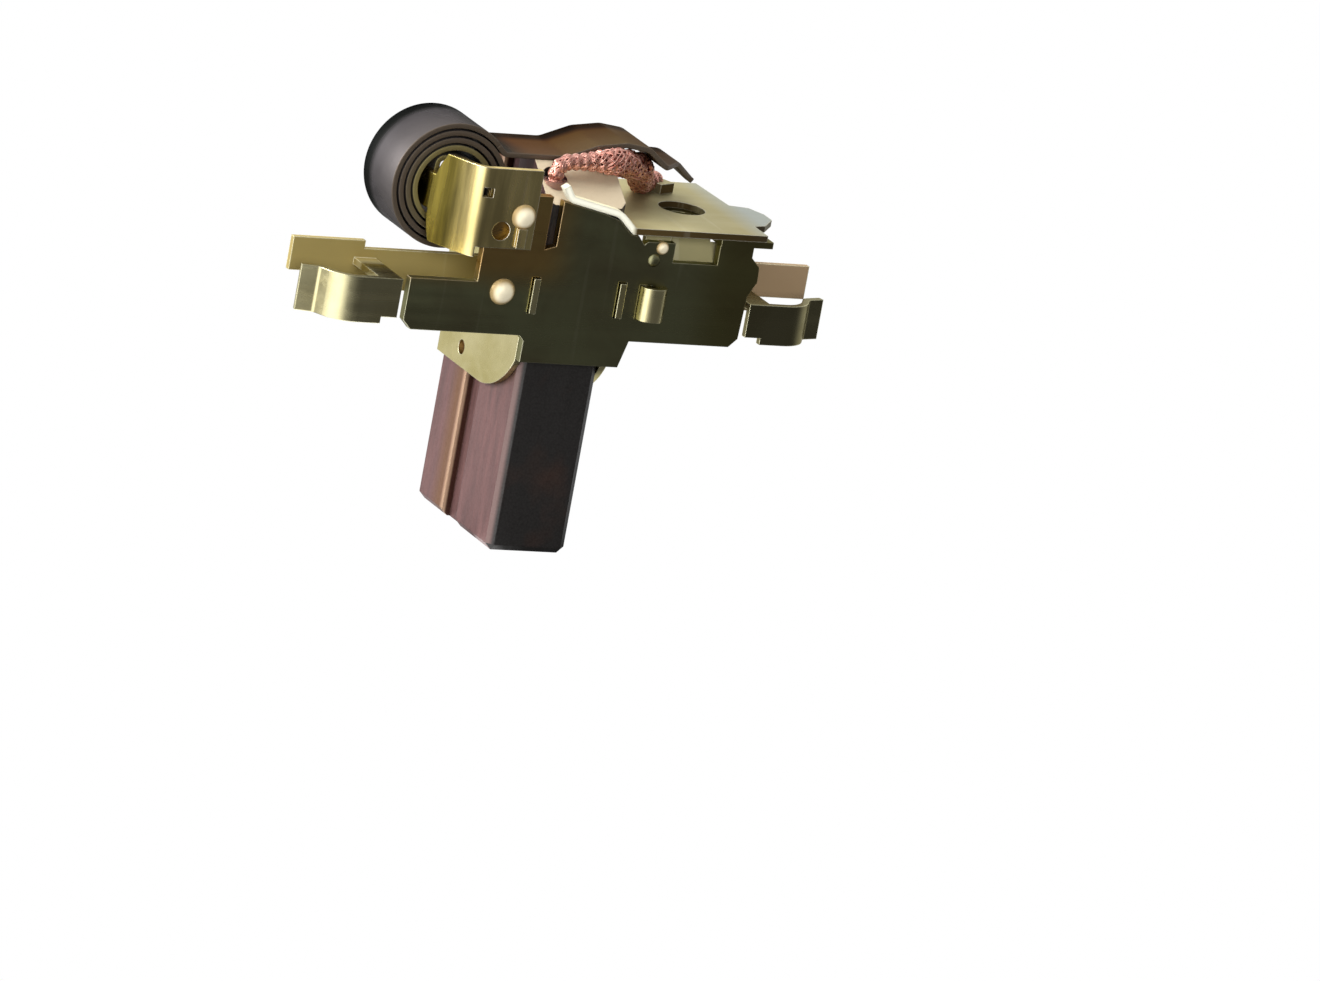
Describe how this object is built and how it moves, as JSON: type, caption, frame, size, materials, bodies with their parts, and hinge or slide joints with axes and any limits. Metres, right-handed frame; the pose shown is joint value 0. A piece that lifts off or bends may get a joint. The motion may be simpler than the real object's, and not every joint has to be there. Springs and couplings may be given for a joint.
{
  "type": "carbon brush",
  "caption": "Graphite brush sliding in a stamped brass holder with sprung mounting ears, a spiral pressure spring, a braided copper lead and a pierced terminal plate.",
  "frame": {"origin": "on the brush's contact end, midway across it and 6.25 mm behind its front face, with the brush in the position shown", "axes": "+X along the mounting ears towards the terminal, +Y from the holder's front to its back, +Z along the brush towards its head"},
  "size_m": [0.042, 0.0156, 0.0309],
  "materials": {
    "graphite": "matte, pressed graphite",
    "copper": "bare braided copper",
    "tin": "satin tinned plate",
    "brass": "bright rolled brass",
    "brass_dark": "rolled brass, dark reflections",
    "spring_steel": "blued spring strip",
    "rivet": "polished rivet heads"
  },
  "bodies": {
    "holder": {"copper_shunt": "copper", "lead_weld": "tin", "brush_channel": "brass", "front_plate": "brass_dark", "ear_spring_left": "brass", "ear_spring_right": "brass", "spring_bracket": "brass", "pressure_spring": "spring_steel", "terminal_plate": "tin", "ear_rivet": "rivet", "bracket_rivet": "rivet", "terminal_stake_upper": "rivet", "terminal_stake_lower": "rivet"},
    "brush": {"carbon_brush": "graphite", "shunt_plug": "copper"}
  },
  "joints": [
    {"name": "brush_slide", "type": "slide", "parent": "holder", "child": "brush", "axis": [0, 0, 1], "range_m": [0, 0.008], "stiffness_N_per_m": 80, "springref_m": -0.035, "deforming": ["pressure_spring", "copper_shunt"]}
  ]
}
